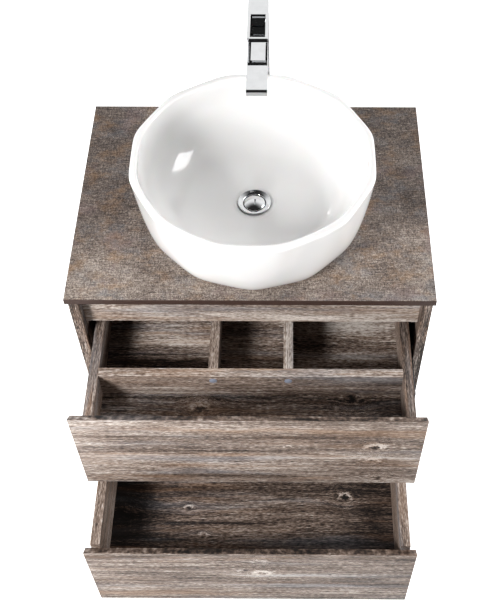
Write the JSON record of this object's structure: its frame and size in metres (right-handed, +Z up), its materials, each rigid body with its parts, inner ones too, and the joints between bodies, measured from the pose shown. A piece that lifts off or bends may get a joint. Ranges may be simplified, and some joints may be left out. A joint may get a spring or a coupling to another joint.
{
  "type": "vessel sink on vanity",
  "caption": "Wall-hung vanity in weathered plank decor with open drawers, thin oxide worktop, faceted white vessel basin and tall square lever tap.",
  "frame": {"origin": "middle of the cabinet's rear bottom edge, on the wall plane; the wall-face mount lies 5 mm above it", "axes": "+X to the right seen from the front, +Y to the wall, +Z up; the drawers open towards -Y"},
  "size_m": [0.6, 0.759, 0.767],
  "materials": {
    "oxide_laminate": "matt oxide print with fine linen texture",
    "plank_board": "weathered grey-brown pine decor, matt with open grain",
    "glazed_white": "gloss white glaze",
    "chrome": "polished",
    "zinc_steel": "zinc plated",
    "brass": "turned",
    "black_rubber": "matt",
    "white_plastic": "moulded, slightly glossy",
    "grey_plastic": "moulded, matt",
    "beech": "plain beech"
  },
  "bodies": {
    "cabinet": {"bottom_panel": "plank_board", "carcass_screws": "zinc_steel", "front_rail": "plank_board", "lower_rear_rail": "plank_board", "rear_rail": "plank_board", "runner_outer_lower": "zinc_steel", "runner_outer_upper": "zinc_steel", "screw_caps": "grey_plastic", "side_panel_left": "plank_board", "side_panel_right": "plank_board", "tap_aerator": "grey_plastic", "tap_cartridge": "grey_plastic", "tap_column": "chrome", "tap_foot_seal": "black_rubber", "tap_horseshoe": "zinc_steel", "tap_nut": "brass", "tap_rubber_pad": "black_rubber", "tap_spout": "chrome", "tap_stud": "zinc_steel", "trap_body": "white_plastic", "trap_cup": "white_plastic", "trap_dip_tube": "white_plastic", "trap_outlet_pipe": "white_plastic", "trap_rosette": "chrome", "trap_side_nut": "white_plastic", "trap_top_nut": "white_plastic", "vessel_basin": "glazed_white", "wall_hangers": "zinc_steel", "waste_body": "chrome", "waste_nut": "brass", "waste_seal": "black_rubber", "waste_washer": "black_rubber", "worktop": "oxide_laminate"},
    "upper_drawer": {"upper_back_left": "plank_board", "upper_back_right": "plank_board", "upper_cross_divider": "plank_board", "upper_divider_left": "plank_board", "upper_divider_right": "plank_board", "upper_dowels": "beech", "upper_floor": "plank_board", "upper_front": "plank_board", "upper_side_left": "plank_board", "upper_side_right": "plank_board", "runner_inner_upper": "zinc_steel", "divider_caps": "grey_plastic"},
    "lower_drawer": {"lower_back": "plank_board", "lower_dowels": "beech", "lower_floor": "plank_board", "lower_front": "plank_board", "lower_side_left": "plank_board", "lower_side_right": "plank_board", "runner_inner_lower": "zinc_steel"},
    "upper_middle_runners": {"runner_middle_upper": "zinc_steel"},
    "lower_middle_runners": {"runner_middle_lower": "zinc_steel"},
    "tap_swivel": {"tap_stem": "chrome"},
    "tap_handle": {"tap_lever": "chrome", "tap_lever_pin": "zinc_steel"},
    "plug": {"waste_plug": "chrome"}
  },
  "joints": [
    {"name": "upper_drawer_slide", "type": "slide", "parent": "cabinet", "child": "upper_drawer", "axis": [0, -1, 0], "range_m": [-0.197, 0.153]},
    {"name": "lower_drawer_slide", "type": "slide", "parent": "cabinet", "child": "lower_drawer", "axis": [0, -1, 0], "range_m": [-0.313, 0.037]},
    {"name": "upper_middle_slide", "type": "slide", "parent": "cabinet", "child": "upper_middle_runners", "axis": [0, -1, 0], "range_m": [-0.0985, 0.0765]},
    {"name": "lower_middle_slide", "type": "slide", "parent": "cabinet", "child": "lower_middle_runners", "axis": [0, -1, 0], "range_m": [-0.1565, 0.0185]},
    {"name": "handle_swivel", "type": "hinge", "parent": "cabinet", "child": "tap_swivel", "pos_m": [0.0108, -0.043, 0.74], "axis": [0, 0, 1], "range_deg": [-45, 45]},
    {"name": "handle_lift", "type": "hinge", "parent": "tap_swivel", "child": "tap_handle", "pos_m": [0.0108, -0.031, 0.745], "axis": [-1, 0, 0], "range_deg": [0, 20]},
    {"name": "plug_press", "type": "slide", "parent": "cabinet", "child": "plug", "axis": [0, 0, 1], "range_m": [-0.005, 0]}
  ],
  "couplings": [
    {"joint": "upper_middle_slide", "follows": "upper_drawer_slide", "ratio": 0.5},
    {"joint": "lower_middle_slide", "follows": "lower_drawer_slide", "ratio": 0.5}
  ]
}
